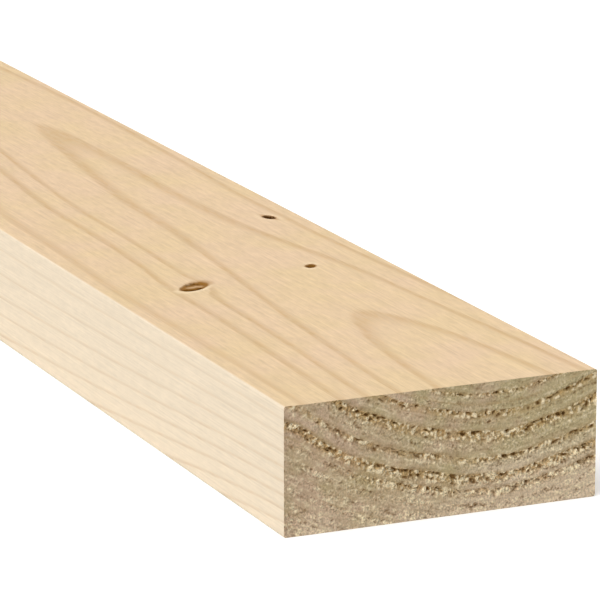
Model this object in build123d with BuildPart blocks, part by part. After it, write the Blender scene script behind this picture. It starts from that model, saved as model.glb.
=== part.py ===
from build123d import *
import os

# Dressed pine framing plank, lying flat on its wide face, all lengths in millimetres.
# X runs along the grain, Y across the wide face and Z up. The origin is under the middle of the plank.

# The section as it leaves the planer: two wide faces, two narrow edges, long corners only just eased
plank_length = 2400.0
plank_width = 90.0
plank_thickness = 35.0
arris_radius = 0.6

# Round knot: a shallow slanting dish where the hard knot wood has shrunk below the planed face
round_knot_from_end = 124.0
round_knot_across_share = -0.204
round_knot_length = 12.2
round_knot_breadth = 6.6
round_knot_depth = 0.3
round_knot_turn = 129.0

# Wide crack: where the round knot has pulled away from its bark, bowed towards the +X end
wide_crack_from_end = 122.9
wide_crack_across_share = -0.215
wide_crack_length = 7.8
wide_crack_bow = 1.5
wide_crack_breadth = 2.4
wide_crack_depth = 2.2
wide_crack_turn = -88.7

# Fine crack: the same on the knot's other side, narrower and less deep
fine_crack_from_end = 125.6
fine_crack_across_share = -0.193
fine_crack_length = 6.6
fine_crack_bow = 1.8
fine_crack_breadth = 1.4
fine_crack_depth = 1.0
fine_crack_turn = 86.6

# Pin knot: a small dark branch stub that has dropped below the face
pin_knot_from_end = 132.8
pin_knot_across_share = 0.2417
pin_knot_length = 4.6
pin_knot_breadth = 3.0
pin_knot_depth = 1.1
pin_knot_turn = -32.0

# Open knot: the loose stub has fallen out and left a narrow hole along the grain
open_knot_from_end = 193.8
open_knot_across_share = 0.391
open_knot_length = 5.0
open_knot_breadth = 3.2
open_knot_depth = 3.2
open_knot_turn = 15.0

# Walls lean in, so the floor of a knot or a crack is a share of its mouth
dish_floor_share = 0.8
hole_floor_share = 0.55
crack_floor_share = 0.35


def face_plane(from_end, across_share, turn):
    """The top face at a knot or a crack: set out from the +X end, x axis turned away from the grain."""
    centre = (plank_length / 2 - from_end, plank_width * across_share, plank_thickness)
    return Plane(origin=centre).rotated((0, 0, turn))


round_knot = face_plane(round_knot_from_end, round_knot_across_share, round_knot_turn)
wide_crack = face_plane(wide_crack_from_end, wide_crack_across_share, wide_crack_turn)
fine_crack = face_plane(fine_crack_from_end, fine_crack_across_share, fine_crack_turn)
pin_knot = face_plane(pin_knot_from_end, pin_knot_across_share, pin_knot_turn)
open_knot = face_plane(open_knot_from_end, open_knot_across_share, open_knot_turn)

# Each hollow: its plane on the face, length, breadth, depth and floor share
hollows = [
    (round_knot, round_knot_length, round_knot_breadth, round_knot_depth, dish_floor_share),
    (pin_knot, pin_knot_length, pin_knot_breadth, pin_knot_depth, hole_floor_share),
    (open_knot, open_knot_length, open_knot_breadth, open_knot_depth, hole_floor_share),
]

# Each crack: its plane on the face, length, bow of its middle line past its tips, breadth and depth
cracks = [
    (wide_crack, wide_crack_length, wide_crack_bow, wide_crack_breadth, wide_crack_depth),
    (fine_crack, fine_crack_length, fine_crack_bow, fine_crack_breadth, fine_crack_depth),
]

with BuildPart() as plank:
    # The planed section, run the full length between two square saw cuts
    with BuildSketch(Plane.YZ.offset(-plank_length / 2)):
        with Locations((0, plank_thickness / 2)):
            Rectangle(plank_width, plank_thickness)
        fillet(vertices(), radius=arris_radius)
    extrude(amount=plank_length)

    # Oval hollows of the three knots, narrowing from the mouth to the floor
    for mouth, length, breadth, depth, floor_share in hollows:
        with BuildSketch(mouth):
            Ellipse(length / 2, breadth / 2)
        with BuildSketch(mouth.offset(-depth)):
            Ellipse(length / 2 * floor_share, breadth / 2 * floor_share)
        loft(mode=Mode.SUBTRACT)

    # The cracks, pointed crescents of two arcs, whose floors lie under the middle line of their mouths
    for mouth, length, bow, breadth, depth in cracks:
        for drop, share in [(0, 1), (depth, crack_floor_share)]:
            tip = length / 2 * share
            tip_rise = bow * (1 - share**2)
            belly = breadth / 2 * share
            with BuildSketch(mouth.offset(-drop)):
                with BuildLine():
                    ThreePointArc((-tip, tip_rise), (0, bow + belly), (tip, tip_rise))
                    ThreePointArc((tip, tip_rise), (0, bow - belly), (-tip, tip_rise))
                make_face()
        loft(mode=Mode.SUBTRACT)

os.makedirs("parts", exist_ok=True)
plank.part.label = "plank"
export_step(plank.part, "parts/plank.step")
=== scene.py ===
import logging
from dataclasses import dataclass
from enum import Enum
from functools import partial
from itertools import product

import bpy
import numpy as np
from bpy.types import ID, Material, NodeSocket, NodeTree, Object, World
from mathutils import Matrix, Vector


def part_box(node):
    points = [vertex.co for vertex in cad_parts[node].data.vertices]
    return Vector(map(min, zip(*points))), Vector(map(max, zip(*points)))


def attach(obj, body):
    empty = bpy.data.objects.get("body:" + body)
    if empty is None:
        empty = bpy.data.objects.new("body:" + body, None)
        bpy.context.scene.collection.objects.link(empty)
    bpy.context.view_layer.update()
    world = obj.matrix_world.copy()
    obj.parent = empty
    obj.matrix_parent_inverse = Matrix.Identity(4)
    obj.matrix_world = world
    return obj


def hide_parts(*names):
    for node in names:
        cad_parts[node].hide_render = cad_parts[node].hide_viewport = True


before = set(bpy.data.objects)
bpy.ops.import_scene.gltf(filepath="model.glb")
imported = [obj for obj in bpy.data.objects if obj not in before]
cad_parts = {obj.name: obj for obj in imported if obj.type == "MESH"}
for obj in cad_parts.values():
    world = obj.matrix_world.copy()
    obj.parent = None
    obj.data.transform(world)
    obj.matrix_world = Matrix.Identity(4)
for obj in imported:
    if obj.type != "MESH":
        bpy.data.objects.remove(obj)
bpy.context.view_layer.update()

# A dressed pine framing plank: one sawn piece, with growth rings that run through every face.
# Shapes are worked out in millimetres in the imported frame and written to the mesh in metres.
MM = 0.001
# A length in millimetres that is too small to matter
TINY = 1e-6
LOG = logging.getLogger("plank")

Array = np.ndarray
Pair = tuple[Array, Array]
# Places along the plank, across it and up
Places = tuple[Array, Array, Array]
# From one number to another, or a level and its swing
Span = tuple[float, float]
# Rising distances, each with its value
Course = tuple[Span, ...]
UNIT: Span = (0.0, 1.0)

# Large odd numbers that scatter the bits of a cell's place, and the bits that are kept
SCATTER = (374761393, 668265263, 1442695041, 1274126177)
WORD = 0xFFFFFFFF
FRACTION = 0xFFFFFF


class PlankEnd(Enum):
    """The two saw cuts, by the way that they face along X."""

    NEAR = 1
    FAR = -1


def linear(hex_colour: str) -> tuple[float, ...]:
    """Turns an sRGB hex colour into linear light.

    Args:
        hex_colour: Six hex digits, such as "E6CBA6".

    Returns:
        Red, green, blue and a full alpha, with the sRGB curve undone.
    """
    srgb = np.array(list(bytes.fromhex(hex_colour))) / 255
    light = np.where(srgb <= 0.04045, srgb / 12.92, ((srgb + 0.055) / 1.055) ** 2.4)
    return (*map(float, light), 1.0)


def ease(low: float, high: float, value: Array) -> Array:
    """Smooth step from 0 at low to 1 at high: three t squared less two t cubed, flat outside."""
    t = np.clip((value - low) / (high - low), 0, 1)
    return t * t * (3 - 2 * t)


def swung(level: float, swing: float, value: Array) -> Array:
    """A level, plus a swing times a value."""
    return level + swing * value


def cell_value(i: Array, j: Array, seed: int) -> Array:
    """Draws a number for each whole-number cell by mixing the bits of its place.

    Args:
        i: First number of the cell.
        j: Second number of the cell.
        seed: Picks the draw.

    Returns:
        Fixed random numbers from 0 to 1.
    """
    mixed = (i * SCATTER[0] + j * SCATTER[1] + seed * SCATTER[2]) & WORD
    mixed = ((mixed ^ (mixed >> 13)) * SCATTER[3]) & WORD
    return ((mixed ^ (mixed >> 16)) & FRACTION) / FRACTION


@dataclass(frozen=True)
class Ripple:
    """A layer of soft unevenness: its cells' size both ways in millimetres, its swing and its seed."""

    cell: Span
    swing: float
    seed: int

    def at(self, u: Array, v: Array, seed: int = 0) -> Array:
        """Value noise: the numbers of a cell's four corners, blended by smooth steps, times the swing.

        Args:
            u: First coordinate.
            v: Second coordinate.
            seed: Added to the layer's own.

        Returns:
            Numbers from minus the swing to the swing.
        """
        u, v, seed = u / self.cell[0], v / self.cell[1], seed + self.seed
        i, j = np.floor(u).astype(np.int64), np.floor(v).astype(np.int64)
        a, b = ease(*UNIT, u - i), ease(*UNIT, v - j)
        low = cell_value(i, j, seed) * (1 - b) + cell_value(i, j + 1, seed) * b
        high = cell_value(i + 1, j, seed) * (1 - b) + cell_value(i + 1, j + 1, seed) * b
        return self.swing * (2 * (low * (1 - a) + high * a) - 1)


def rippled(layers: tuple[Ripple, ...], u: Array, v: Array, seed: int = 0) -> Array:
    """The sum of several layers of unevenness."""
    return sum(layer.at(u, v, seed) for layer in layers)


@dataclass(frozen=True)
class Lumps:
    """Rounded lumps, each round a random point of its cell: the cells' size both ways and a seed."""

    cell: Span
    seed: int
    crest: float = 1.1
    radius: float = 0.62

    def at(self, u: Array, v: Array, seed: int) -> Pair:
        """Finds the nearest lump: its height is the crest less the distance over the radius, squared.

        Args:
            u: First coordinate.
            v: Second coordinate.
            seed: Added to the lumps' own.

        Returns:
            Heights kept from 0 to 1, and each lump's own random number.
        """
        u, v, seed = u / self.cell[0], v / self.cell[1], seed + self.seed
        nearest, luck = np.full(u.shape, np.inf), np.zeros(u.shape)
        for di, dj in product((-1, 0, 1), repeat=2):
            i, j = np.floor(u).astype(np.int64) + di, np.floor(v).astype(np.int64) + dj
            gap = np.hypot(u - i - cell_value(i, j, seed), v - j - cell_value(i, j, seed + 1))
            luck = np.where(gap < nearest, cell_value(i, j, seed + 2), luck)
            nearest = np.minimum(gap, nearest)
        return np.clip(self.crest - (nearest / self.radius) ** 2, 0, 1), luck


def smooth_path(places: Course, at: Array) -> Array:
    """A smooth line through given places: cubic pieces that share a slope where they meet.

    Args:
        places: Pairs of distance and value, by rising distance.
        at: Distances to read the line at.

    Returns:
        The values there.
    """
    far, value = np.array(places).T
    slope = np.gradient(value, far)
    k = np.clip(np.searchsorted(far, at, "right") - 1, 0, len(far) - 2)
    span = far[k + 1] - far[k]
    t = np.clip((at - far[k]) / span, 0, 1)
    ends = value[k] * (1 + 2 * t) * (1 - t) ** 2 + value[k + 1] * t * t * (3 - 2 * t)
    return ends + span * t * (1 - t) * (slope[k] * (1 - t) - slope[k + 1] * t)


def graded(
    low: float, high: float, coarse: float, spots: list[tuple[float, float, float]],
    growth_run: float = 3.0, samples: int = 24001,
) -> Array:
    """Places from low to high that crowd together at given spots.

    The wanted step is the least of the coarse step and, for each spot, its fine step plus a share of the
    distance outside it. The places lie at equal rises of the running sum of one over that step.

    Args:
        low: First place.
        high: Last place.
        coarse: The widest step.
        spots: For each spot its middle, its half width and its fine step.
        growth_run: How far outside a spot the step has grown by one.
        samples: How many places the sum is taken at.

    Returns:
        The places, with both ends.
    """
    line = np.linspace(low, high, samples)
    step = np.full(line.shape, coarse)
    for middle, half, fine in spots:
        step = np.minimum(step, fine + np.maximum(np.abs(line - middle) - half, 0) / growth_run)
    run = np.concatenate([[0], np.cumsum(0.5 / step[1:] + 0.5 / step[:-1])]) * (line[1] - line[0])
    return np.interp(np.linspace(0, run[-1], int(np.ceil(run[-1])) + 1), run, line)


def add_node(
    tree: NodeTree, kind: str, inputs: dict | tuple = (), out: int | str = 0,
    steps: tuple[float, ...] = (), **settings: str,
) -> NodeSocket | None:
    """Adds a shader node with its settings and links.

    Args:
        tree: The node tree that gets it.
        kind: The node's type without its prefix, such as "Math".
        inputs: Sockets to link from or values to set, in the inputs' own order, or by name or number.
        out: The output to hand back, by name or number.
        steps: For a colour ramp, the grey of each of its equal steps.
        settings: The node's own properties.

    Returns:
        That output, or None from a node that has none.
    """
    made = tree.nodes.new("ShaderNode" + kind)
    for name, value in settings.items():
        setattr(made, name, value)
    for key, value in inputs.items() if isinstance(inputs, dict) else enumerate(inputs):
        if isinstance(value, NodeSocket):
            tree.links.new(value, made.inputs[key])
        else:
            made.inputs[key].default_value = value
    for k, grey in enumerate(steps):
        ramp, place = made.color_ramp, k / len(steps)
        ramp.interpolation = "CONSTANT"
        element = ramp.elements[k] if k < len(ramp.elements) else ramp.elements.new(place)
        element.position = place
        element.color = (grey, grey, grey, 1)
    return made.outputs[out] if made.outputs else None


def emptied(owner: Material | World) -> partial:
    """Clears the nodes of a material or a world.

    Args:
        owner: The material or world.

    Returns:
        The function that adds a node to it.
    """
    owner.use_nodes = True
    owner.node_tree.nodes.clear()
    return partial(add_node, owner.node_tree)


@dataclass(frozen=True)
class Band:
    """A tone beside a knot or a line: its level, and the distances where it fades out and comes in."""

    level: float
    fade: Span
    rise: Span = (-9.0, -8.0)

    def at(self, distance: Array) -> Array:
        """The tone: its level times a smooth step up times a smooth step down."""
        return self.level * ease(*self.rise, distance) * (1 - ease(*self.fade, distance))


@dataclass(frozen=True)
class FaceMark:
    """A mark cut in the top face, as in the solid: its place, its turn from the grain and its sizes."""

    from_end: float
    across_share: float
    turn_deg: float
    length: float
    breadth: float
    depth: float
    floor_share: float

    def share(self, u: Array, v: Array) -> Array:
        """Oval distance from the middle: each way over the half size, so 1 on the rim."""
        return np.hypot(u / self.length * 2, v / self.breadth * 2)

    def hollow(self, u: Array, v: Array) -> Array:
        """Depth below the face: full over the floor, then a smooth step up to nothing at the rim."""
        return self.depth * (1 - ease(self.floor_share, 1, self.share(u, v)))


@dataclass(frozen=True)
class Knot(FaceMark):
    """An oval knot with its three tones, by the oval distance: brown, a pale lip that is partly painted
    highlight, and dark that is partly painted shade.
    """

    brown: Band
    lip: Band
    dark: Band


@dataclass(frozen=True)
class Crack(FaceMark):
    """A crack round one side of the round knot: a pointed crescent, bowed across the line of its tips."""

    bow: float
    # Its dark tone is painted shade in the crack
    dark: Band
    fray: float
    tip_share: float = 0.6
    least_slim: float = 0.01

    def slim(self, u: Array) -> Array:
        """Share of the breadth at a distance along: one less that over the half length, squared."""
        return 1 - (2 * u / self.length) ** 2

    def share(self, u: Array, v: Array) -> Array:
        """Distance from the bowed middle line over the half breadth there, so 1 on the crack's edge.

        Args:
            u: Distances along the line of the tips.
            v: Distances across it.

        Returns:
            The shares, endless past the crack's tips.
        """
        slim = self.slim(u)
        gap = np.abs(v - self.bow * slim) / (self.breadth / 2 * np.maximum(slim, self.least_slim))
        return np.where(slim > 0, gap, np.inf)

    def hollow(self, u: Array, v: Array) -> Array:
        """Depth below the face: as in any mark, and less near the tips by a smooth step."""
        return super().hollow(u, v) * ease(0, self.tip_share, self.slim(u))


# Distance from the near end, share of the width across, turn, length, breadth, depth and floor's share
ROUND_KNOT = Knot(
    124.0, -0.204, 129.0, 12.2, 6.6, 0.3, 0.8,
    brown=Band(1.0, (0.9, 1.1)), lip=Band(0.75, (1.2, 1.6), (1.0, 1.1)),
    dark=Band(0.3, (0.9, 1.1), (0.7, 0.95)),
)
PIN_KNOT = Knot(
    132.8, 0.2417, -32.0, 4.6, 3.0, 1.1, 0.55,
    brown=Band(1.0, (0.8, 1.4)), lip=Band(0.6, (1.5, 2.2), (1.05, 1.2)), dark=Band(0.6, (0.8, 1.15)),
)
OPEN_KNOT = Knot(
    193.8, 0.391, 15.0, 5.0, 3.2, 3.2, 0.55,
    brown=Band(0.7, (1.0, 1.4)), lip=Band(0.35, (1.8, 2.6), (1.3, 1.6)), dark=Band(1.0, (0.92, 1.15)),
)
KNOTS = (ROUND_KNOT, PIN_KNOT, OPEN_KNOT)
WIDE_CRACK = Crack(
    122.9, -0.215, -88.7, 7.8, 2.4, 2.2, 0.35, bow=1.5, dark=Band(0.85, (0.7, 1.4)), fray=0.15,
)
FINE_CRACK = Crack(
    125.6, -0.193, 86.6, 6.6, 1.4, 1.0, 0.35, bow=1.8, dark=Band(0.7, (0.7, 1.4)), fray=0.4,
)
CRACKS = (WIDE_CRACK, FINE_CRACK)


@dataclass(frozen=True)
class FaceKnots:
    """The three knots and the round one's cracks, as hollows of the top face and as tones on it, with
    painted highlight on the lips and painted shade in the cracks and holes.
    """

    end: float
    width: float
    # The round knot: how its rim and cracks stray, and its brown off and on a wavy ridge by the fine crack
    stray: Ripple = Ripple((1.1, 0.8), 1.0, 31)
    rim_stray: float = 0.05
    ridge_waver: Ripple = Ripple((1.1, 1.0), 0.6, 33)
    ridge_off: float = 1.4
    ridge_slide: float = 0.6
    ridge_width: float = 0.8
    ridge_ends: Span = (1.8, 3.2)
    ridge_brown: Span = (0.95, -0.5)
    core_dark: float = 0.28
    crack_brown: float = 1.3
    # Its tan halo towards one end, and the side that its pale lip, a painted highlight, is on
    halo: Band = Band(0.5, (0.95, 1.6))
    halo_rise: Span = (-2.0, 5.0)
    highlight_side: Span = (-0.5, -0.87)
    highlight_rise: Span = (-0.5, 2.0)
    # The pin knot's pale lip, partly painted highlight, is at its tips, and the open knot leaves a brown
    # trail along the grain
    pin_tips: Span = (1.3, 2.4)
    trail_width: float = 0.9
    trail_ends: Span = (1.1, 2.6)
    trail_brown: float = 0.6

    def local(self, mark: FaceMark, x: Array, y: Array) -> Pair:
        """Turns places on the face to a mark's own axes.

        Args:
            mark: The knot or crack.
            x: Places along the plank.
            y: Places across it.

        Returns:
            Distances from the mark's middle, along its length and across it.
        """
        turn = np.radians(mark.turn_deg)
        along, across = x - self.end + mark.from_end, y - mark.across_share * self.width
        u = along * np.cos(turn) + across * np.sin(turn)
        v = across * np.cos(turn) - along * np.sin(turn)
        return u, v

    def sunk(self, x: Array, y: Array) -> Array:
        """Depth below the face: the deepest of the knots' hollows and the cracks."""
        return np.max([mark.hollow(*self.local(mark, x, y)) for mark in KNOTS + CRACKS], axis=0)

    def round_knot(self, x: Array, y: Array) -> list[Array]:
        """Tones of the round knot, products of smooth steps of its uneven oval distance.

        It is brown inside its rim, lighter on the ridge, which is a bell curve across its line, with a tan
        halo and a pale lip outside, the lip a painted highlight on one side.
        It is dark off the ridge, along the rim and most in the cracks, where the dark is painted shade.

        Args:
            x: Places along the plank.
            y: Places across it.

        Returns:
            Shares of brown, of the pale lip, which is painted highlight, and of dark, partly painted shade
            in the cracks.
        """
        u, v = self.local(ROUND_KNOT, x, y)
        stray = self.stray.at(u, v)
        reach = ROUND_KNOT.share(u, v) * (1 + self.rim_stray * stray)
        inside = ROUND_KNOT.brown.at(reach)
        ridge_u, ridge_v = self.local(FINE_CRACK, x, y)
        off_line = ridge_v + self.ridge_off + self.ridge_waver.at(ridge_u, np.zeros(u.shape))
        ridge = np.exp(-(off_line / self.ridge_width) ** 2)
        ridge = ridge * (1 - ease(*self.ridge_ends, np.abs(ridge_u + self.ridge_slide)))
        halo = self.halo.at(reach) * ease(*self.halo_rise, u)
        brown = np.maximum(swung(*self.ridge_brown, ridge) * inside, halo)
        # Painted highlight: a pale lip on one side of the knot only
        pale = ROUND_KNOT.lip.at(reach) * ease(*self.highlight_rise, self.highlight_side[0] * u + self.highlight_side[1] * v)
        dark = np.maximum(inside * self.core_dark * (1 - ridge), ROUND_KNOT.dark.at(reach))
        # Painted shade: dark in the cracks
        for crack in CRACKS:
            u, v = self.local(crack, x, y)
            dark = np.maximum(dark, crack.dark.at(crack.share(u, v + crack.fray * stray)))
        return [np.maximum(brown, np.clip(self.crack_brown * dark, 0, 1)), pale, dark]

    def tones(self, x: Array, y: Array) -> dict[str, Array]:
        """The strongest tones of the three knots at each place.

        The pin and the open knot's are smooth steps of their oval distance, and the trail is a bell curve.

        Args:
            x: Places along the plank.
            y: Places across it.

        Returns:
            Shares of knot_tan, of knot_pale_and_highlight for the pale lips, partly painted highlight, and
            of knot_dark_and_shade, partly painted shade in cracks and holes.
        """
        tips = ease(*self.pin_tips, np.abs(self.local(PIN_KNOT, x, y)[0]))
        u, v = self.local(OPEN_KNOT, x, y)
        trail = np.exp(-(v / self.trail_width) ** 2)
        trail = trail * (1 - ease(*self.trail_ends, np.abs(u) / OPEN_KNOT.length * 2))
        each = [self.round_knot(x, y)]
        # The pin and open knots' pale lips are partly painted highlight, and their dark is partly painted
        # shade in the holes
        for knot, tail, lipped in ((PIN_KNOT, 0, tips), (OPEN_KNOT, self.trail_brown * trail, 1 - trail)):
            reach = knot.share(*self.local(knot, x, y))
            brown = np.maximum(knot.brown.at(reach), tail)
            each.append([brown, knot.lip.at(reach) * lipped, knot.dark.at(reach)])
        return dict(zip(("knot_tan", "knot_pale_and_highlight", "knot_dark_and_shade"), np.max(each, axis=0)))


@dataclass(frozen=True)
class GrowthRings:
    """The yearly rings of the trunk, round a pith that runs along above the plank, in millimetres."""

    end: float
    width: float
    top: float
    pith_height: float = 60.0
    first_radius: float = 44.0
    # Ring by ring from the pith outwards, as the near end shows them and then finer towards the bark
    ring_widths: tuple[float, ...] = (
        6.4, 5.5, 6.9, 3.5, 3.9, 3.0, 6.9, 4.6, 3.8, 3.6, 3.4, 3.4, 3.4, 3.6, 3.2, 4.2, 3.3,
        2.9, 3.7, 3.2, 2.8, 3.5, 3.0, 3.4, 2.7, 3.1, 3.6, 2.9, 3.2, 2.8, 3.3, 3.0, 2.9, 3.1,
    )
    # Distance from the near end, and where the pith lies across the plank
    pith_places: Course = (
        (0, 14.4), (40, 14.0), (82, 13.2), (112, 12.7), (180, 12.3), (230, 12.4), (280, 15.2), (345, 18.6),
        (440, 21), (620, 13), (820, 3), (1100, 8), (1450, -6), (1800, 2), (2100, -4), (2400, 4),
    )
    # Distance from the near end, and how far the rings have closed in on the pith
    taper: Course = (
        (0, 0), (40, 1.2), (84, 2.8), (140, 4.5), (178, 5.3), (225, 5.6), (280, 5.85), (345, 6.3),
        (560, 9.7), (800, 10.6), (1050, 14.6), (1300, 15.6), (1560, 19.8), (1850, 21.6), (2120, 26.0),
        (2400, 27.2),
    )
    # Distance from the near end, and how far the rings of the -Y edge have spread downwards, as a share
    spread: Course = (
        (0, 0), (100, 0.24), (200, 0.38), (400, 0.48), (900, 0.42), (1600, 0.5), (2400, 0.4),
    )
    edge_from: float = -32.0
    # Distance from the near end, and how much less the rings a few millimetres wider have closed in
    lag: Course = (
        (0, 0), (40, 0.4), (82, 0.9), (120, 1.3), (160, 1.4), (200, 1.4), (400, 1.3), (2400, 1.2),
    )
    lag_reach: float = 4.0
    # Distance off the pith towards -Y, and how far the rings there have flattened, less and less downwards
    flats: Course = (
        (0, 0), (34, 0), (40, 0.6), (44, 1.0), (49, 0.9), (53, 1.2), (56, 2.4), (60, 5.1), (66, 9.3),
        (80, 19),
    )
    flat_depth: float = 30.0
    flat_fade: float = 26.0
    # Unevenness along the plank and over its section, none right under the pith
    waves: tuple[Ripple, ...] = (Ripple((15, 130), 0.4, 3), Ripple((6, 60), 0.15, 4))
    dents: tuple[Ripple, ...] = (Ripple((17, 15), 0.4, 5), Ripple((6, 7), 0.25, 6))
    even_under: Span = (2.0, 24.0)
    knot_flow_share: float = 0.7
    knot_flow_stretch: float = 2.6
    knot_flow_depth: float = 9.0
    arc_radius: float = 80.0
    blur: tuple[float, ...] = (-0.5, 0.0, 0.5)

    @property
    def lines(self) -> Array:
        """Radii of the dark latewood lines, from the first outwards."""
        return self.first_radius + np.concatenate([[0], np.cumsum(self.ring_widths)])

    def parted(self, at: Places) -> Array:
        """Parts the grain round the knots, as water parts round a stone.

        A place beside a knot reads the ring of a place nearer to the knot's line: its distance across is
        lessened by the knot's radius squared over the distance squared, less and less below the face.

        Args:
            at: Places in the plank.

        Returns:
            The places across that the rings are read at.
        """
        x, y, z = at
        fade = np.exp(-((self.top - z) / self.knot_flow_depth) ** 2)
        moved = y.copy()
        for knot in KNOTS:
            along = (x - self.end + knot.from_end) / self.knot_flow_stretch
            across = y - knot.across_share * self.width
            radius = self.knot_flow_share * (knot.length + knot.breadth) / 4
            gap = np.maximum(np.hypot(along, across), radius)
            moved -= across * (radius / gap) ** 2 * fade
        return moved

    def radius(self, at: Places) -> Array:
        """Distance from the pith, plus the taper at that place along the trunk and some unevenness.

        Wider rings lag behind the taper. Far off the pith towards -Y the distance across counts for less, so
        that the rings flatten. At the -Y edge the taper fades out and depths count for less by the spread's
        share, so that the rings fan out along that edge.

        Args:
            at: Places in the plank.

        Returns:
            The radius of the ring that passes there, measured at the near end.
        """
        x, y, z = at
        back = self.end - x
        edge = ease(self.edge_from, -self.width / 2, y)
        depth = (self.top - z) * (1 - smooth_path(self.spread, back) * edge)
        across = self.parted(at) - smooth_path(self.pith_places, back)
        flat_level = np.clip((self.flat_depth - self.top + z) / self.flat_fade, 0, 1)
        across = across + smooth_path(self.flats, -across) * flat_level
        plain = np.hypot(across, self.pith_height + depth)
        uneven = rippled(self.waves, y, back) + rippled(self.dents, y, z)
        uneven = uneven * ease(*self.even_under, np.abs(across) + depth)
        lag = smooth_path(self.lag, back) * ease(0, self.lag_reach, plain - self.pith_height)
        return plain + (smooth_path(self.taper, back) - lag) * (1 - edge) + uneven

    def count(self, at: Places) -> Array:
        """Counts rings from the first line, by shares of a ring's width, averaged over a millimetre.

        Args:
            at: Places in the plank.

        Returns:
            Rings, with their fractions.
        """
        radius, years = self.radius(at), np.arange(len(self.lines))
        return sum(np.interp(radius + step, self.lines, years) for step in self.blur) / len(self.blur)

    def between(self, radius: Array) -> tuple[Array, Array, Array]:
        """Where a radius lies between two latewood lines.

        Args:
            radius: The radii.

        Returns:
            The number of the line last passed, the distance past it, and the distance to the next.
        """
        ring = np.clip(np.searchsorted(self.lines, radius, "right") - 1, 0, len(self.ring_widths) - 1)
        return ring, radius - self.lines[ring], self.lines[ring + 1] - radius

    def arc(self, at: Places) -> Array:
        """Distance along the rings: the angle round the pith times a middle radius."""
        across = at[1] - smooth_path(self.pith_places, self.end - at[0])
        return self.arc_radius * np.arctan2(across, self.top + self.pith_height - at[2])


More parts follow.
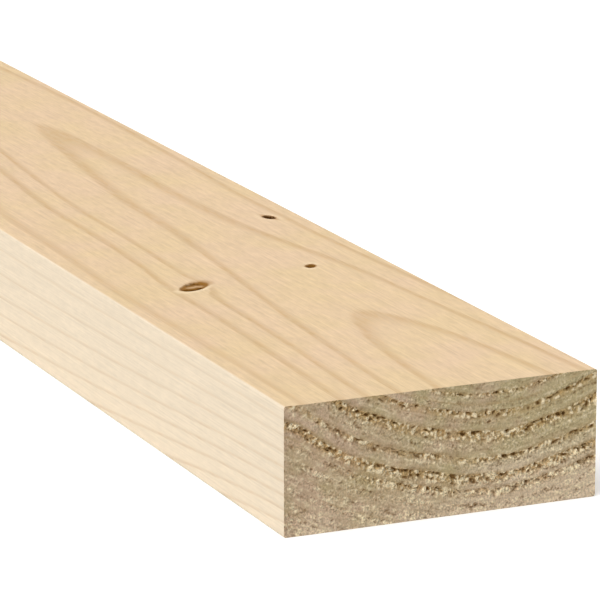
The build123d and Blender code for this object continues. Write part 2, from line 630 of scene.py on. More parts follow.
@dataclass(frozen=True)
class TornGrain:
    """How a coarse saw leaves an end: soft earlywood torn into crumbs and grooves, hard latewood smooth."""

    seed: int
    grid_step: float
    # Ring by ring from the first line: how hard the saw has torn it, how far past the line that starts, and
    # how far it goes on
    tears: tuple[float, ...]
    starts: tuple[float, ...]
    reaches: tuple[float, ...]
    # The last ring that is torn right across; further out the saw has torn less towards -Y
    calm_after: int
    calm_share: float = 0.8
    calm_over: Span = (-8.0, -38.0)
    # Tearing comes in past its start, goes out at a share of its reach, and is uneven by patches
    tear_in: Span = (-0.1, 0.3)
    tear_out: Span = (0.35, 1.35)
    patches: tuple[Ripple, ...] = (Ripple((6.5, 3.0), 0.6, 0), Ripple((2.0, 1.6), 0.4, 1))
    patch_pull: float = 0.5
    patch_tear: Span = (1.1, 0.9)
    # Smooth wood before a line, less so low down, and how sandy an end is: all over, where it is torn, in
    # patches, low down and where it is smooth
    low_down: Span = (26.0, 6.0)
    low_rough: float = 0.2
    smooth_before: Span = (0.4, 2.2)
    sand_weights: tuple[float, ...] = (0.5, 0.45, 0.3, 0.25, -0.4)
    sand_limits: Span = (0.32, 1.0)
    # Lumps, how their cells sway, and which of them are there by their random numbers
    sways: tuple[Ripple, Ripple] = (Ripple((1.4, 0.9), 0.5, 2), Ripple((1.8, 1.1), 0.4, 3))
    grooves: Lumps = Lumps((1.5, 0.85), 4)
    groove_luck: Span = (0.12, 0.27)
    groove_crowd: Band = Band(0.3, (0.4, 1.4))
    crumbs: Lumps = Lumps((1.25, 1.25), 8)
    crumb_luck: Span = (0.5, 0.75)
    crumb_torn: Span = (0.2, 0.6)
    specks: Lumps = Lumps((0.7, 0.7), 12)
    # Depths below the end plane, and what share of them is left at the end's outline
    skin_depth: float = 0.4
    tear_depth: float = 0.35
    groove_depth: float = 0.7
    crumb_height: float = 0.5
    speck_height: float = 0.3
    swell: Ripple = Ripple((4.0, 2.0), 0.1, 16)
    edge_share: float = 0.3
    edge_band: float = 1.2
    # Tones: of lumps, pale on crumbs partly as painted highlight and dark in grooves as painted shade, of
    # streaks along the rings, and of the latewood before a line
    lump_tone: float = 0.8
    streaks: tuple[Ripple, ...] = (Ripple((5.0, 0.55), 1.0, 18), Ripple((1.7, 0.45), 1.0, 19))
    streak_tone: Span = (0.2, -0.12)
    late_line: Band = Band(1.0, (0.1, 1.1))
    late_tear: Span = (0.25, 0.5)
    late_patch: Span = (0.7, 0.6)

    def relief(self, rings: GrowthRings, at: Places, inset: Array) -> dict[str, Array]:
        """Works out the torn surface of a saw cut.

        Tearing starts at or past a latewood line and dies out at the ring's reach, in patches. Grooves are
        lumps stretched along the ring, sunk, and crowded under the line. Crumbs are round lumps, raised.
        Specks are small ones, everywhere. A lump's random number says whether it is there.

        Args:
            rings: The growth rings.
            at: Places on the end plane.
            inset: Distance in from the end's outline.

        Returns:
            Arrays by name: depth below the end plane in millimetres, torn, sand and late from 0 to 1, and
            crumb from -1, a groove painted dark as shade, to 1, a crumb painted pale, partly as highlight.
        """
        radius, arc = rings.radius(at), rings.arc(at)
        ring, past, ahead = rings.between(radius)
        last = len(self.tears) - 1
        table = np.array([self.tears, self.starts, self.reaches])
        tear, start, reach = table[:, np.minimum(ring, last)]
        next_tear = table[0, np.minimum(ring + 1, last)]
        past = past - start
        patch = rippled(self.patches, arc, radius, self.seed)
        band = ease(*self.tear_in, past) * (1 - ease(*self.tear_out, past / reach + self.patch_pull * patch))
        low = ease(*self.low_down, at[2])
        calm = 1 - self.calm_share * ease(*self.calm_over, at[1]) * (ring > self.calm_after)
        torn = np.clip(band * tear * swung(*self.patch_tear, patch) * calm, 0, 1)
        smooth = (1 - ease(*self.smooth_before, ahead)) * (1 - self.low_rough * low)
        shares = (1, torn, patch, low, smooth)
        sand = np.clip(sum(w * share for w, share in zip(self.sand_weights, shares)), *self.sand_limits)
        streak = rippled(self.streaks, arc, radius, self.seed)

        sway_a, sway_r = (sway.at(arc, radius, self.seed) for sway in self.sways)
        a, r = arc + sway_a, radius + sway_r
        lump, luck = self.crumbs.at(a, r, self.seed)
        crumb = ease(*self.crumb_torn, torn) * lump * ease(*self.crumb_luck, luck)
        lump, luck = self.grooves.at(a, r, self.seed)
        groove = torn * lump * (1 - ease(*self.groove_luck, luck - self.groove_crowd.at(past))) * (1 - crumb)
        lump, luck = self.specks.at(a, r, self.seed)
        speck = sand * lump * (2 * luck - 1 + self.low_rough * low)

        depth = self.skin_depth + self.tear_depth * torn + self.groove_depth * groove
        depth = depth - self.crumb_height * crumb - self.speck_height * speck
        depth = depth + self.swell.at(arc, radius, self.seed)
        near_edge = swung(self.edge_share, 1 - self.edge_share, ease(0, self.edge_band, inset))
        # Tones of the lumps: crumbs and raised specks pale, partly painted highlight; grooves and sunk
        # specks dark, painted shade
        lump_light_and_shade = self.lump_tone * (crumb + speck) - groove
        late = swung(*self.late_tear, next_tear) * swung(*self.late_patch, patch)
        return {
            "depth": np.clip(depth, 0, None) * near_edge, "torn": torn, "sand": sand,
            "crumb": lump_light_and_shade + swung(*self.streak_tone, torn) * streak,
            "late": self.late_line.at(ahead) * late,
        }


TEARS = {
    PlankEnd.NEAR: TornGrain(
        seed=60, grid_step=0.28, calm_after=8,
        tears=(0.5, 0.6, 0.5, 0.6, 0.9, 0.15, 1.0, 0.8, 1.0, 0.6, 0.2, 0.1),
        starts=(0, 0, 0, 0, 1.6, 0, 0, 0, 0, 0, 0, 0),
        reaches=(1.5, 1.5, 1.5, 1.3, 1.9, 0.9, 2.7, 1.6, 2.8, 2.5, 2.6, 1.8),
    ),
    PlankEnd.FAR: TornGrain(
        seed=20, grid_step=0.6, calm_after=18,
        tears=(0.5, 0.6, 0.5, 0.5, 0.4, 0.7, 0.6, 0.8, 0.9, 0.6, 0.9, 0.5, 0.8, 0.4, 0.7, 0.5, 0.8, 0.45),
        starts=(0,) * 18,
        reaches=(1.5, 1.5, 1.5, 1.3, 0.9, 1.9, 2.2, 1.6, 2.2, 1.4, 2.0, 1.3, 1.9, 1.2, 1.6, 1.5, 1.8, 1.4),
    ),
}


@dataclass(frozen=True)
class BareWood:
    """What both finishes share: how dull the wood is, and how strong and deep its finest bumps are."""

    roughness: float
    satin: float
    bump_share: float
    bump_mm: float

    def surface(self, node: partial, colour: NodeSocket, height: NodeSocket) -> None:
        """Ends a material's nodes with the bump, the shader and the output.

        Args:
            node: Adds a node to the material.
            colour: The wood's colour.
            height: Its finest relief, from 0 to 1.
        """
        bump = node("Bump", {"Height": height, "Strength": self.bump_share, "Distance": self.bump_mm * MM})
        dull = {"Roughness": self.roughness, "Specular IOR Level": self.satin}
        shader = node("BsdfPrincipled", {"Base Color": colour, "Normal": bump} | dull)
        node("OutputMaterial", {"Surface": shader})


@dataclass(frozen=True)
class PlanedPine(BareWood):
    """Bare pine off the planer: matt, faintly satin along the grain, tan heart and cream sapwood."""

    heart: str = "ECD0A6"
    rosy_heart: str = "EDCFAC"
    sap: str = "F6E5CC"
    latewood: str = "C39C69"
    # Knot wood; a pale lip, partly painted highlight; and dark brown, partly painted shade in cracks and
    # holes
    knot_wood: str = "A8742C"
    knot_lip_and_highlight: str = "FBE3BD"
    knot_dark_wood_and_shade: str = "4A2A02"
    # How strong the latewood lines are, from the first outwards and round again, and as a share on sapwood
    line_strengths: tuple[float, ...] = (
        0.3, 0.26, 0.32, 0.34, 0.36, 0.35, 0.35, 0.26, 0.22, 0.26, 0.3, 0.34, 0.38, 0.42, 0.42, 0.38,
    )
    sap_strength: Span = (1.0, 0.6)
    # How far a line fades towards the pith and towards the bark, what share of that on sapwood, and its fuzz
    latewood_mm: float = 2.5
    earlywood_mm: float = 1.15
    sap_line_share: float = 0.4
    fuzz_mm: float = 0.9
    # The cells of pine are some 0.03 mm wide, too fine to show, so its fibres are drawn as coarser streaks
    fibre_mm: float = 0.45
    fibre_run_mm: float = 28.0
    fibre_tone: Span = (0.85, 1.15)
    # Flecks break up the lines and mottle the wood, less on sapwood, and blotches turn it rosy
    fleck_mm: float = 1.5
    fleck_run_mm: float = 6.0
    fleck_middle: Span = (0.3, 0.7)
    fleck_breaks: Span = (0.4, 1.6)
    fleck_tone: Span = (0.3, 0.2)
    blotch_mm: float = 22.0
    blotch_middle: Span = (0.35, 0.65)
    roughness: float = 0.58
    satin: float = 0.04
    bump_share: float = 0.35
    bump_mm: float = 0.08

    def build(self) -> Material:
        """Makes the material: soft latewood lines on warm wood, fine streaks along it, brown knots.

        Returns:
            The material, reading the plank's ring and knot attributes.
        """
        material = bpy.data.materials.new("planed_pine")
        node = emptied(material)
        place = node("TexCoord", out="Object")
        count, slope, pale, tan, lip, dark = (
            node("Attribute", out="Fac", attribute_name=name)
            for name in ("ring_count", "ring_slope", "sapwood", "knot_tan", "knot_pale_and_highlight", "knot_dark_and_shade")
        )

        # Fibres and flecks: noise drawn out along the grain
        fibre, fleck = (
            node("TexNoise", {
                "Vector": node("Mapping", {
                    "Vector": place, "Scale": [1 / (size * MM) for size in (run, fine, fine)],
                }),
                "Scale": 1.0, "Detail": detail, "Roughness": rough,
            })
            for run, fine, detail, rough in (
                (self.fibre_run_mm, self.fibre_mm, 3.0, 0.5), (self.fleck_run_mm, self.fleck_mm, 2.0, 0.7),
            )
        )
        blotch = node("TexNoise", {"Vector": place, "Scale": 1 / (self.blotch_mm * MM), "Detail": 2.0})

        # Latewood: dark at each year's line, fading over a few millimetres towards the pith
        fuzz = node("Math", (fibre, slope), operation="MULTIPLY")
        year = node("Math", (fuzz, self.fuzz_mm, count), operation="MULTIPLY_ADD")
        part = node("Math", (year,), operation="FRACT")
        left = node("Math", (1.0, part), operation="SUBTRACT")
        before, after = (
            node("MapRange", {
                "Value": node("Math", (share, slope), operation="DIVIDE"),
                "From Max": node("MapRange", (pale, *UNIT, width, width * self.sap_line_share)),
                "To Min": 1.0, "To Max": 0.0,
            }, interpolation_type="SMOOTHERSTEP")
            for share, width in ((left, self.latewood_mm), (part, self.earlywood_mm))
        )
        line = node("Math", (year,), operation="ROUND")
        number = node("Math", (line, 1 / len(self.line_strengths)), operation="MULTIPLY")
        turn = node("Math", (number,), operation="FRACT")
        strength = node("ValToRGB", (turn,), steps=self.line_strengths)
        fainter = node("MapRange", (pale, *UNIT, *self.sap_strength))
        broken = node("MapRange", (fleck, *self.fleck_middle, *self.fleck_breaks))
        mark = node("Math", (before, after), operation="MAXIMUM")
        for level in (strength, fainter, broken):
            mark = node("Math", (mark, level), operation="MULTIPLY")
        rosy = node("MapRange", (blotch, *self.blotch_middle))
        wood = linear(self.heart)
        for share, colour in ((rosy, self.rosy_heart), (pale, self.sap), (mark, self.latewood)):
            wood = node("Mix", {0: share, 6: wood, 7: linear(colour)}, out=2, data_type="RGBA")

        # Streaks and flecks, a few parts in a hundred, fainter on the pale edges
        streak = node("MapRange", (fibre, *UNIT, *self.fibre_tone))
        swing = node("MapRange", (pale, *UNIT, *self.fleck_tone))
        spot = node("Math", (fleck, 0.5), operation="SUBTRACT")
        mottle = node("Math", (spot, swing, 1.0), operation="MULTIPLY_ADD")
        tone = node("Math", (streak, mottle), operation="MULTIPLY")
        wood = node("VectorMath", (wood, tone), operation="MULTIPLY")

        # Knots: brown knot wood, a pale lip beside it, partly painted highlight, and dark brown in the
        # cracks and holes, partly painted shade
        for share, colour in ((tan, self.knot_wood), (lip, self.knot_lip_and_highlight), (dark, self.knot_dark_wood_and_shade)):
            wood = node("Mix", {0: share, 6: wood, 7: linear(colour)}, out=2, data_type="RGBA")

        self.surface(node, wood, fibre)
        return material


@dataclass(frozen=True)
class SawnEndGrain(BareWood):
    """End grain off a coarse saw: grey-brown and dull, with cream crumbs, partly painted highlight, and
    brown grooves, painted shade, in its rings.
    """

    olive: str = "C2B189"
    rose: str = "CDB296"
    warm: str = "DEC9AE"
    latewood: str = "B2966A"
    torn: str = "BE9A60"
    # Cream on the crumbs is partly painted highlight, and dark brown in the grooves is painted shade
    crumb: str = "F3E2BE"
    groove: str = "785628"
    torn_share: float = 0.7
    crumb_and_highlight_from: Span = (0.05, 0.55)
    groove_shade_from: Span = (-0.08, -0.7)
    lump_share: Span = (0.0, 0.9)
    # The sawn-off ends of the cells are too fine to show, so they are drawn as coarser grit
    grit_mm: float = 0.5
    grit_middle: Span = (0.3, 0.7)
    grit_tone: Span = (-0.5, 0.5)
    cloud_mm: float = 8.0
    drift_mm: float = 250.0
    rosy_from: Span = (0.38, 0.72)
    roughness: float = 0.85
    satin: float = 0.15
    bump_share: float = 0.8
    bump_mm: float = 0.2

    def build(self) -> Material:
        """Makes the material: colours by tearing, crumb and groove, with painted highlight on crumbs and
        painted shade in grooves, and sandy grit over all.

        Returns:
            The material, reading the plank's torn-grain attributes.
        """
        material = bpy.data.materials.new("sawn_end_grain")
        node = emptied(material)
        place = node("TexCoord", out="Object")
        torn, crumb, late, stain, sandy = (
            node("Attribute", out="Fac", attribute_name=name)
            for name in ("torn", "crumb", "late", "stain", "sand")
        )
        grit, cloud = (
            node("TexNoise", {"Vector": place, "Scale": 1 / (size * MM), "Detail": detail})
            for size, detail in ((self.grit_mm, 2.0), (self.cloud_mm, 3.0))
        )

        # Smooth wood in clouds of olive and, more towards -Y, rose; paler low down, warmer where it is torn
        across = node("SeparateXYZ", (place,), out="Y")
        drift = node("Math", (across, -1 / (self.drift_mm * MM), cloud), operation="MULTIPLY_ADD")
        rosy = node("MapRange", (drift, *self.rosy_from))
        ragged = node("Math", (torn, self.torn_share), operation="MULTIPLY")
        # Crumbs turn cream, partly painted highlight, and grooves dark brown, painted shade
        light = node("MapRange", (crumb, *self.crumb_and_highlight_from, *self.lump_share))
        sunk = node("MapRange", (crumb, *self.groove_shade_from, *self.lump_share))
        wood = linear(self.olive)
        for share, colour in (
            (rosy, self.rose), (stain, self.warm), (late, self.latewood),
            (ragged, self.torn), (light, self.crumb), (sunk, self.groove),
        ):
            wood = node("Mix", {0: share, 6: wood, 7: linear(colour)}, out=2, data_type="RGBA")
        loose = node("MapRange", (grit, *self.grit_middle, *self.grit_tone))
        grain = node("Math", (loose, sandy, 1.0), operation="MULTIPLY_ADD")
        wood = node("VectorMath", (wood, grain), operation="MULTIPLY")

        self.surface(node, wood, grit)
        return material


@dataclass
class Plank:
    """The plank as one closed skin: four planed faces and two torn saw cuts, in millimetres."""

    length: float
    width: float
    thickness: float
    rings: GrowthRings
    knots: FaceKnots
    arris_radius: float = 0.6
    seen_length: float = 470.0
    end_strip: float = 2.0
    # Steps of the mesh: at the knots, along the plank where the photo shows it and where not, and round the
    # section from the top face on
    knot_step: float = 0.4
    knot_margin: float = 1.0
    seen_step: float = 6.0
    unseen_step: float = 24.0
    face_steps: tuple[float, ...] = (3.0, 5.0, 8.0, 3.0)
    least_slope: float = 0.045
    # How pale the underside is, and how close to the narrow edges their sapwood starts
    under_sap: float = 0.4
    sap_skin: float = 0.05
    # How the saw cuts warm downwards, from a share of the height, and in clouds
    stain_slope: float = 2.2
    stain_height_share: float = 0.3
    stain_rise: Span = (-0.2, 0.6)
    stain_clouds: Ripple = Ripple((12.0, 9.0), 0.25, 21)

    @property
    def corners(self) -> Array:
        """Distances round the section of its corners, from the top one at -Y and back to it."""
        return np.cumsum([0, self.width, self.thickness, self.width, self.thickness])

    def rounded(self, y: Array, z: Array) -> Pair:
        """Eases the section's corners: what lies outside a corner's arc is pulled in to it.

        Args:
            y: Places across the section.
            z: Heights.

        Returns:
            The same places, inside the eased outline.
        """
        mid = self.thickness / 2
        a, b = self.width / 2 - self.arris_radius, mid - self.arris_radius
        over_y, over_z = np.maximum(np.abs(y) - a, 0), np.maximum(np.abs(z - mid) - b, 0)
        out = np.maximum(np.hypot(over_y, over_z), TINY)
        pull = np.where((over_y > 0) & (over_z > 0), np.minimum(1, self.arris_radius / out), 1)
        eased_y = np.sign(y) * (np.minimum(np.abs(y), a) + over_y * pull)
        eased_z = mid + np.sign(z - mid) * (np.minimum(np.abs(z - mid), b) + over_z * pull)
        return eased_y, eased_z

    def outline(self, along: Array) -> Pair:
        """Places on the section's outline, by the distance round it.

        It runs over the top to +Y, down the back edge, under to -Y and up the front edge.

        Args:
            along: Distances from the top corner at -Y.

        Returns:
            Places across and heights, with eased corners.
        """
        w, t = self.width, self.thickness
        y = np.interp(along, self.corners, np.array([-w, w, w, -w, -w]) / 2)
        return self.rounded(y, np.interp(along, self.corners, [t, t, 0, 0, t]))

    def knot_spots(self, middles: list[float]) -> list[tuple[float, float, float]]:
        """Stretches that the knots take up, round given middles, with the step that they need."""
        halves = [max(knot.length, knot.breadth) / 2 + self.knot_margin for knot in KNOTS]
        return [(middle, half, self.knot_step) for middle, half in zip(middles, halves)]

    def section_places(self) -> Array:
        """Distances round the outline for the skin's lengthwise lines, close at corners and knots.

        Returns:
            Rising distances that start at 0 and stop short of the full perimeter.
        """
        corner = self.arris_radius
        knots = self.knot_spots([self.width * (0.5 + knot.across_share) for knot in KNOTS])
        faces = zip(self.corners, self.corners[1:], self.face_steps, (knots, [], [], []))
        runs = []
        for low, high, coarse, spots in faces:
            ends = [(place, corner, corner / 2) for place in (low, high)]
            runs.append(graded(low, high, coarse, spots + ends)[:-1])
        return np.concatenate(runs)

    def stations(self) -> Array:
        """Places along the plank for the skin's crosswise lines, close at the knots and near the end.

        Returns:
            Rising places along X, each end a strip's width short of the saw cut.
        """
        end, half = self.length / 2, self.seen_length / 2
        knots = self.knot_spots([end - knot.from_end for knot in KNOTS])
        seen = [(end - half, half, self.seen_step)]
        return graded(-end + self.end_strip, end - self.end_strip, self.unseen_step, knots + seen)

    def skin(self) -> tuple[Array, Array, dict[str, Array]]:
        """The planed faces: the section carried along the stations, with the knots sunk in its top.

        The slope of the rings is how many pass to a millimetre of the face: the ring count's change along
        and round it, as one length, with a least slope so that the tips of the ovals stay soft.

        Returns:
            Points as stations by places by 3, the places' distances round the section, and values by name.
        """
        stations, places = self.stations(), self.section_places()
        y, z = self.outline(places)
        x, y = np.meshgrid(stations, y, indexing="ij")
        z = np.broadcast_to(z, x.shape)
        count = self.rings.count((x, y, z))
        slope = np.hypot(np.gradient(count, stations, axis=0), np.gradient(count, places, axis=1))
        on_top = (z > self.thickness - TINY) & (np.abs(y) < self.width / 2 - self.arris_radius)
        values = {name: np.where(on_top, tone, 0) for name, tone in self.knots.tones(x, y).items()}
        values |= {"ring_count": count, "ring_slope": np.hypot(slope, self.least_slope)}
        return np.stack([x, y, z - np.where(on_top, self.knots.sunk(x, y), 0)], axis=-1), places, values

    def saw_cut(self, which: PlankEnd) -> tuple[Array, dict[str, Array], Array]:
        """A saw cut: an even grid over the section, let in along X by the torn grain.

        Args:
            which: The end to make.

        Returns:
            Points as grid by 3, the values by name, and the outline's grid numbers in the skin's order.
        """
        grain, half = TEARS[which], self.width / 2
        across, up = (int(round(size / grain.grid_step)) for size in (self.width, self.thickness))
        y, z = np.meshgrid(
            np.linspace(-half, half, across + 1), np.linspace(0, self.thickness, up + 1), indexing="ij",
        )
        inset = np.minimum(half - np.abs(y), self.thickness / 2 - np.abs(z - self.thickness / 2))
        y, z = self.rounded(y, z)
        plane = np.full(y.shape, which.value * self.length / 2)
        values = grain.relief(self.rings, (plane, y, z), inset)
        points = np.stack([plane - which.value * values.pop("depth"), y, z], axis=-1)
        values["ring_count"] = self.rings.count((plane, y, z))
        number = np.arange(y.size).reshape(y.shape)
        rim = np.concatenate([number[:-1, -1], number[-1, :0:-1], number[:0:-1, 0], number[0, :-1]])
        return points, values, rim

    def rim_distances(self, cut: Array) -> Array:
        """Distances round the outline of a saw cut's rim points, in equal steps on each side."""
        sides = zip(self.corners, self.corners[1:], (cut.shape[0] - 1, cut.shape[1] - 1) * 2)
        return np.concatenate([np.linspace(low, high, steps, endpoint=False) for low, high, steps in sides])

    def sapwood(self, points: Array) -> Array:
        """How pale the planed wood is: full on the narrow edges, part on the underside, none on top.

        Args:
            points: Places, with the last axis of 3.

        Returns:
            Shares from 0 to 1, by smooth steps over the eased corners.
        """
        half = self.width / 2
        side = ease(half - self.arris_radius, half - self.sap_skin, np.abs(points[..., 1]))
        return np.maximum(side, self.under_sap * (1 - ease(0, self.arris_radius, points[..., 2])))

    def stain(self, points: Array) -> Array:
        """How warm a saw cut is: a smooth step of clouds that thicken downwards and a little towards +Y.

        Args:
            points: Places, with the last axis of 3.

        Returns:
            Shares from 0 to 1.
        """
        y, z = points[..., 1], points[..., 2]
        slant = self.stain_slope * (self.stain_height_share - z / self.thickness) + y / self.width
        return ease(*self.stain_rise, slant + self.stain_clouds.at(y, z))

    def build(self, finishes: list[Material]) -> Object:
        """Builds the closed mesh with its attributes and its map for baking.

        Args:
            finishes: The material of the planed faces, then that of the saw cuts.

        Returns:
            The plank, in place at the origin.
        """
        skin, places, values = self.skin()
        rows, ring = skin.shape[:2]
        stations, around = skin[:, 0, 0], np.append(places, self.corners[-1])
        sheet = BakeSheet(self, stations)
        parts = MeshParts()
        first = parts.add_points(skin, values | {"sapwood": self.sapwood(skin)})
        number = first + np.arange(rows * ring).reshape(rows, ring)
        number = np.concatenate([number, number[:, :1]], axis=1)
        along, round_about = np.meshgrid(stations, around, indexing="ij")
        parts.add_faces(quads(number), sheet.skin_map(quads(along), quads(round_about)), 0)
        for which in PlankEnd:
            cut, cut_values, rim = self.saw_cut(which)
            flip = which is PlankEnd.FAR
            row = 0 if flip else -1
            rim_at = self.rim_distances(cut)
            slope = np.zeros(cut[..., 0].size)
            slope[rim] = np.interp(rim_at, places, values["ring_slope"][row])
            cut_values |= {"ring_slope": slope, "sapwood": self.sapwood(cut), "stain": self.stain(cut)}
            start = parts.add_points(cut, cut_values)
            grid = start + np.arange(slope.size).reshape(cut.shape[:2])
            spots = sheet.cut_map(quads(cut[..., 1]), quads(cut[..., 2]), which)
            parts.add_faces(quads(grid), spots, 1, flip)
            closed, closed_at = np.append(start + rim, start + rim[0]), np.append(rim_at, self.corners[-1])
            seam, seam_around = stitched(closed, closed_at, number[row], around)
            end = which.value * self.length / 2
            seam_along = np.where(seam >= start, end, end - which.value * self.end_strip)
            parts.add_faces(seam, sheet.skin_map(seam_along, seam_around), 0, flip)
            parts.sharp.append(start + rim)
        return parts.finish("plank_timber", finishes)


def quads(values: Array) -> Array:
    """The four corners of every cell of a grid: here, next row, next row and column, next column."""
    corners = [values[:-1, :-1], values[1:, :-1], values[1:, 1:], values[:-1, 1:]]
    return np.stack(corners, axis=-1).reshape(-1, 4)


def stitched(fine: Array, fine_at: Array, coarse: Array, coarse_at: Array) -> Pair:
    """Joins two lines round the same outline with triangles.

    Each fine step gets a triangle to the coarse point that it has last passed, and each coarse step one to
    the fine point where that changes.

    Args:
        fine: Point numbers of the fine line, with the first again at the end.
        fine_at: Their distances round the outline.
        coarse: Point numbers of the coarse line, with the first again at the end.
        coarse_at: Their distances round the outline.

    Returns:
        Point numbers and distances, as triangles by 3.
    """
    passed = np.searchsorted(coarse_at, (fine_at[:-1] + fine_at[1:]) / 2, "right") - 1
    k, j = np.arange(len(fine) - 1), np.arange(len(coarse) - 1)
    change = np.searchsorted(passed, j + 1, "left")
    both = []
    for coarse_side, fine_side in ((coarse, fine), (coarse_at, fine_at)):
        fans = np.stack([coarse_side[passed], fine_side[k], fine_side[k + 1]], axis=-1)
        links = np.stack([coarse_side[j], fine_side[change], coarse_side[j + 1]], axis=-1)
        both.append(np.concatenate([fans, links]))
    return both[0], both[1]


class BakeSheet:
    """Lays the plank out on one square: three stretches of the skin, and the saw cuts larger than life."""

    # Shares of the sheet's side, in steps that a baked picture of 1024 pixels has
    gap = 4 / 1024
    cut_height = 130 / 1024

    def __init__(self, plank: Plank, stations: Array) -> None:
        """Cuts the skin where the seen length ends and half way along the rest.

        Args:
            plank: The plank to lay out.
            stations: Its crosswise lines, so that each cut falls on one.
        """
        end = plank.length / 2
        wanted = (end - plank.seen_length, -plank.seen_length / 2)
        cuts = [stations[np.argmin(np.abs(stations - x))] for x in wanted]
        self.plank = plank
        self.bounds = [(cuts[0], end), (cuts[1], cuts[0]), (-end, cuts[1])]
        gaps = len(self.bounds) + 2
        self.row = (1 - self.cut_height - gaps * self.gap) / len(self.bounds)

    def skin_map(self, along: Array, around: Array) -> Array:
        """Places on the sheet for faces of the skin: along X to the right, round the section upwards.

        Args:
            along: X of each face's corners.
            around: Distance round the section of each corner.

        Returns:
            Faces by corners by 2.
        """
        middle = along.mean(axis=1, keepdims=True)
        u, v = np.zeros(along.shape), np.zeros(along.shape)
        for k, (low, high) in enumerate(self.bounds):
            here = (middle >= low) & (middle < high)
            base = self.gap + k * (self.row + self.gap)
            u = np.where(here, self.gap + (1 - 2 * self.gap) * (along - low) / (high - low), u)
            v = np.where(here, base + self.row * around / self.plank.corners[-1], v)
        return np.stack([u, v], axis=-1)

    def cut_map(self, y: Array, z: Array, which: PlankEnd) -> Array:
        """Places on the sheet for faces of a saw cut, the near one first.

        Args:
            y: Place across of each face's corners.
            z: Height of each corner.
            which: The end.

        Returns:
            Faces by corners by 2.
        """
        scale = self.cut_height / self.plank.thickness
        left = self.gap if which is PlankEnd.NEAR else 2 * self.gap + scale * self.plank.width
        base = 1 - self.gap - self.cut_height
        return np.stack([left + scale * (y + self.plank.width / 2), base + scale * z], axis=-1)


class MeshParts:
    """Gathers points, faces and values as whole arrays and turns them into one mesh."""

    value_names = (
        "ring_count", "ring_slope", "sapwood", "knot_tan", "knot_pale_and_highlight", "knot_dark_and_shade",
        "torn", "crumb", "late", "stain", "sand",
    )

    def __init__(self) -> None:
        """Starts empty."""
        self.points: list[Array] = []
        self.faces: list[tuple[Array, Array, int]] = []
        self.values: dict[str, list[Array]] = {name: [] for name in self.value_names}
        self.sharp: list[Array] = []

    def add_points(self, grid: Array, values: dict[str, Array]) -> int:
        """Adds a grid of points with their values, 0 where a name isn't given.

        Args:
            grid: Places, with the last axis of 3.
            values: Numbers for each point, by name.

        Returns:
            The number of the first point.
        """
        start = sum(map(len, self.points))
        points = grid.reshape(-1, 3)
        self.points.append(points)
        for name, numbers in self.values.items():
            numbers.append(np.ravel(values.get(name, np.zeros(len(points)))))
        return start

    def add_faces(self, corners: Array, spots: Array, slot: int, flip: bool = False) -> None:
        """Adds faces by their corners' point numbers, map places and material slot, turned over by flip."""
        turn = slice(None, None, -1 if flip else 1)
        self.faces.append((corners[:, turn], spots[:, turn], slot))

    def finish(self, name: str, finishes: list[Material]) -> Object:
        """Writes the mesh.

        Args:
            name: The object's name.
            finishes: Its materials, by slot.

        Returns:
            The new object, linked to the scene.
        """
        points = np.concatenate(self.points) * MM
        corners = np.concatenate([c.ravel() for c, _, _ in self.faces])
        spots = np.concatenate([s.reshape(-1, 2) for _, s, _ in self.faces])
        sizes = np.concatenate([np.full(len(c), c.shape[1]) for c, _, _ in self.faces])
        slots = np.concatenate([np.full(len(c), slot) for c, _, slot in self.faces])
        starts = np.concatenate([[0], np.cumsum(sizes)[:-1]])
        mesh = bpy.data.meshes.new(name)
        mesh.vertices.add(len(points))
        mesh.vertices.foreach_set("co", points.astype(np.float32).ravel())
        mesh.loops.add(len(corners))
        mesh.loops.foreach_set("vertex_index", corners.astype(np.int32))
        mesh.polygons.add(len(sizes))
        mesh.polygons.foreach_set("loop_start", starts.astype(np.int32))
        mesh.polygons.foreach_set("material_index", slots.astype(np.int32))
        mesh.update(calc_edges=True)
        for label, numbers in self.values.items():
            layer = mesh.attributes.new(label, "FLOAT", "POINT")
            layer.data.foreach_set("value", np.concatenate(numbers).astype(np.float32))
        mesh.uv_layers.new(name="OFBake").data.foreach_set("uv", spots.astype(np.float32).ravel())
        on_rim = np.zeros(len(points), bool)
        on_rim[np.concatenate(self.sharp)] = True
        ends = np.zeros(2 * len(mesh.edges), np.int32)
        mesh.edges.foreach_get("vertices", ends)
        mesh.edges.foreach_set("use_edge_sharp", on_rim[ends.reshape(-1, 2)].all(axis=1))
        for finish in finishes:
            mesh.materials.append(finish)
        if mesh.validate(verbose=True):
            LOG.warning("the mesh of %s had faults", name)
        LOG.info("%s: %d points, %d triangles", name, len(points), int((sizes - 2).sum()))
        return put(name, mesh)


def put(name: str, data: ID, axes: tuple[Array, ...] = (), where: Array | None = None) -> Object:
    """Adds an object to the scene, at the origin, or turned and moved where a place is given.

    Args:
        name: Its name.
        data: Its mesh, camera or lamp.
        axes: The directions that its X, Y and Z are turned to.
        where: Its place, in metres.

    Returns:
        The new object.
    """
    made = bpy.data.objects.new(name, data)
    if where is not None:
        made.matrix_world = Matrix(np.column_stack([*axes, where]).tolist() + [[0, 0, 0, 1]])
    bpy.context.scene.collection.objects.link(made)
    return made


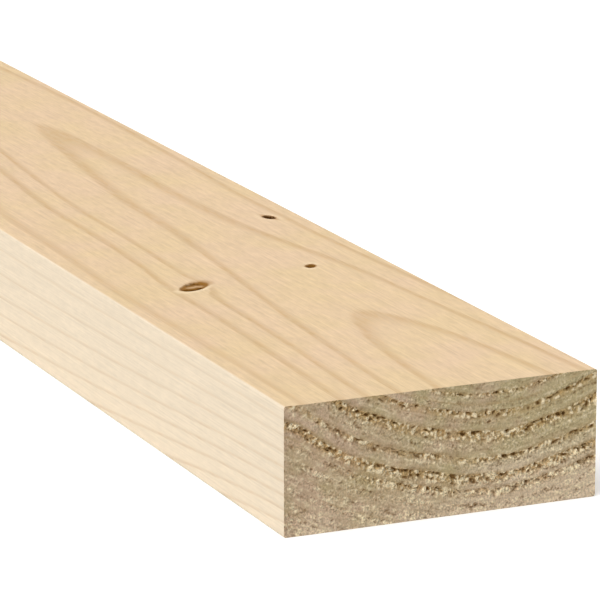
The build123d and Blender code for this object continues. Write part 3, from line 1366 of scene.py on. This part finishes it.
@dataclass(frozen=True)
class Viewpoint:
    """The camera, level, aimed at a point on the near end's plane, in millimetres and degrees."""

    azimuth: float = 66.06
    elevation: float = 14.47
    distance: float = 1036.4
    aim_across: float = -40.56
    aim_height: float = 62.66
    lens: float = 245.8
    sensor: float = 36.0
    clip: Span = (0.01, 100.0)

    def place(self, end: float) -> Object:
        """Makes the camera: it stands back from its aim along the line of sight, upright.

        Args:
            end: X of the near end.

        Returns:
            The camera, set as the scene's own.
        """
        az, el = np.radians([self.azimuth, self.elevation])
        back = np.array([np.sin(az) * np.cos(el), -np.cos(az) * np.cos(el), np.sin(el)])
        right = np.array([np.cos(az), np.sin(az), 0])
        where = (np.array([end, self.aim_across, self.aim_height]) + back * self.distance) * MM
        data = bpy.data.cameras.new("photo_view")
        data.lens, data.sensor_width = self.lens, self.sensor
        data.clip_start, data.clip_end = self.clip
        camera = put("photo_view", data, (right, np.cross(back, right), back), where)
        bpy.context.scene.camera = camera
        return camera


@dataclass(frozen=True)
class SoftLamp:
    """A broad soft lamp: which way it lies from the plank, its level on a square face and its spread."""

    name: str
    towards: tuple[float, float, float]
    level: float
    spread_deg: float
    metres_off: float = 3.0

    def place(self) -> Object:
        """Makes the lamp: its -Z axis runs from where it lies to the plank; level 1 shows white as white.

        Returns:
            The lamp.
        """
        data = bpy.data.lights.new(self.name, "SUN")
        data.energy = self.level * np.pi
        data.angle = np.radians(self.spread_deg)
        axis = np.array(self.towards) / np.linalg.norm(self.towards)
        side = np.cross((0, 0, 1), axis)
        side /= np.linalg.norm(side)
        return put(self.name, data, (side, np.cross(axis, side), axis), axis * self.metres_off)


@dataclass(frozen=True)
class Studio:
    """A plain pale floor under soft light, white to the camera, in metres."""

    floor_colour: str = "F4F4F2"
    glow_colour: str = "FFFFFF"
    floor_lift: float = 0.3
    sky_level: float = 0.35
    floor_half: float = 30.0
    floor_drop: float = 0.00005
    lamps: tuple[SoftLamp, ...] = (
        SoftLamp("key", (0.16, -0.47, 0.87), 0.68, 40.0),
        SoftLamp("back_fill", (-0.5, 0.75, 0.6), 0.1, 60.0),
    )

    def sky(self) -> None:
        """Lights the world evenly and shows it white to the camera."""
        world = bpy.data.worlds.new("studio")
        node = emptied(world)
        level = node("MapRange", (node("LightPath", out="Is Camera Ray"), *UNIT, self.sky_level, 1.0))
        light = node("Background", {"Color": linear(self.glow_colour), "Strength": level})
        node("OutputWorld", {"Surface": light})
        bpy.context.scene.world = world

    def floor(self) -> Object:
        """Makes the floor: matt, with a little of its own light for the camera, so that it shows white.

        Returns:
            The floor.
        """
        half, low = self.floor_half, -self.floor_drop
        corners = [(-half, -half, low), (half, -half, low), (half, half, low), (-half, half, low)]
        mesh = bpy.data.meshes.new("floor")
        mesh.from_pydata(corners, [], [(0, 1, 2, 3)])
        paint = bpy.data.materials.new("matt_white_paint")
        node = emptied(paint)
        lift = node("Math", (node("LightPath", out="Is Camera Ray"), self.floor_lift), operation="MULTIPLY")
        matt = node("BsdfDiffuse", {"Color": linear(self.floor_colour)})
        glow = node("Emission", {"Color": linear(self.glow_colour), "Strength": lift})
        node("OutputMaterial", {"Surface": node("AddShader", (matt, glow))})
        mesh.materials.append(paint)
        made = put("floor", mesh)
        return made

    def set_up(self) -> None:
        """Makes the floor, the sky and the lamps, and shows colours as they are written."""
        self.floor()
        self.sky()
        for lamp in self.lamps:
            lamp.place()
        bpy.context.scene.view_settings.view_transform = "Standard"


def main() -> None:
    """Builds the plank and its studio in order and reports each piece."""
    logging.basicConfig(level=logging.INFO, format="%(name)s: %(message)s")
    low, high = (np.array(corner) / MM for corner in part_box("plank"))
    length, width, thickness = high - low
    rings = GrowthRings(end=high[0], width=width, top=high[2])
    plank = Plank(length, width, thickness, rings, FaceKnots(high[0], width))
    timber = plank.build([PlanedPine().build(), SawnEndGrain().build()])
    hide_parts("plank")
    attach(timber, "root")
    LOG.info("%s rides on root and stands for the plank solid", timber.name)
    Studio().set_up()
    Viewpoint().place(high[0])


if __name__ == "__main__":
    main()
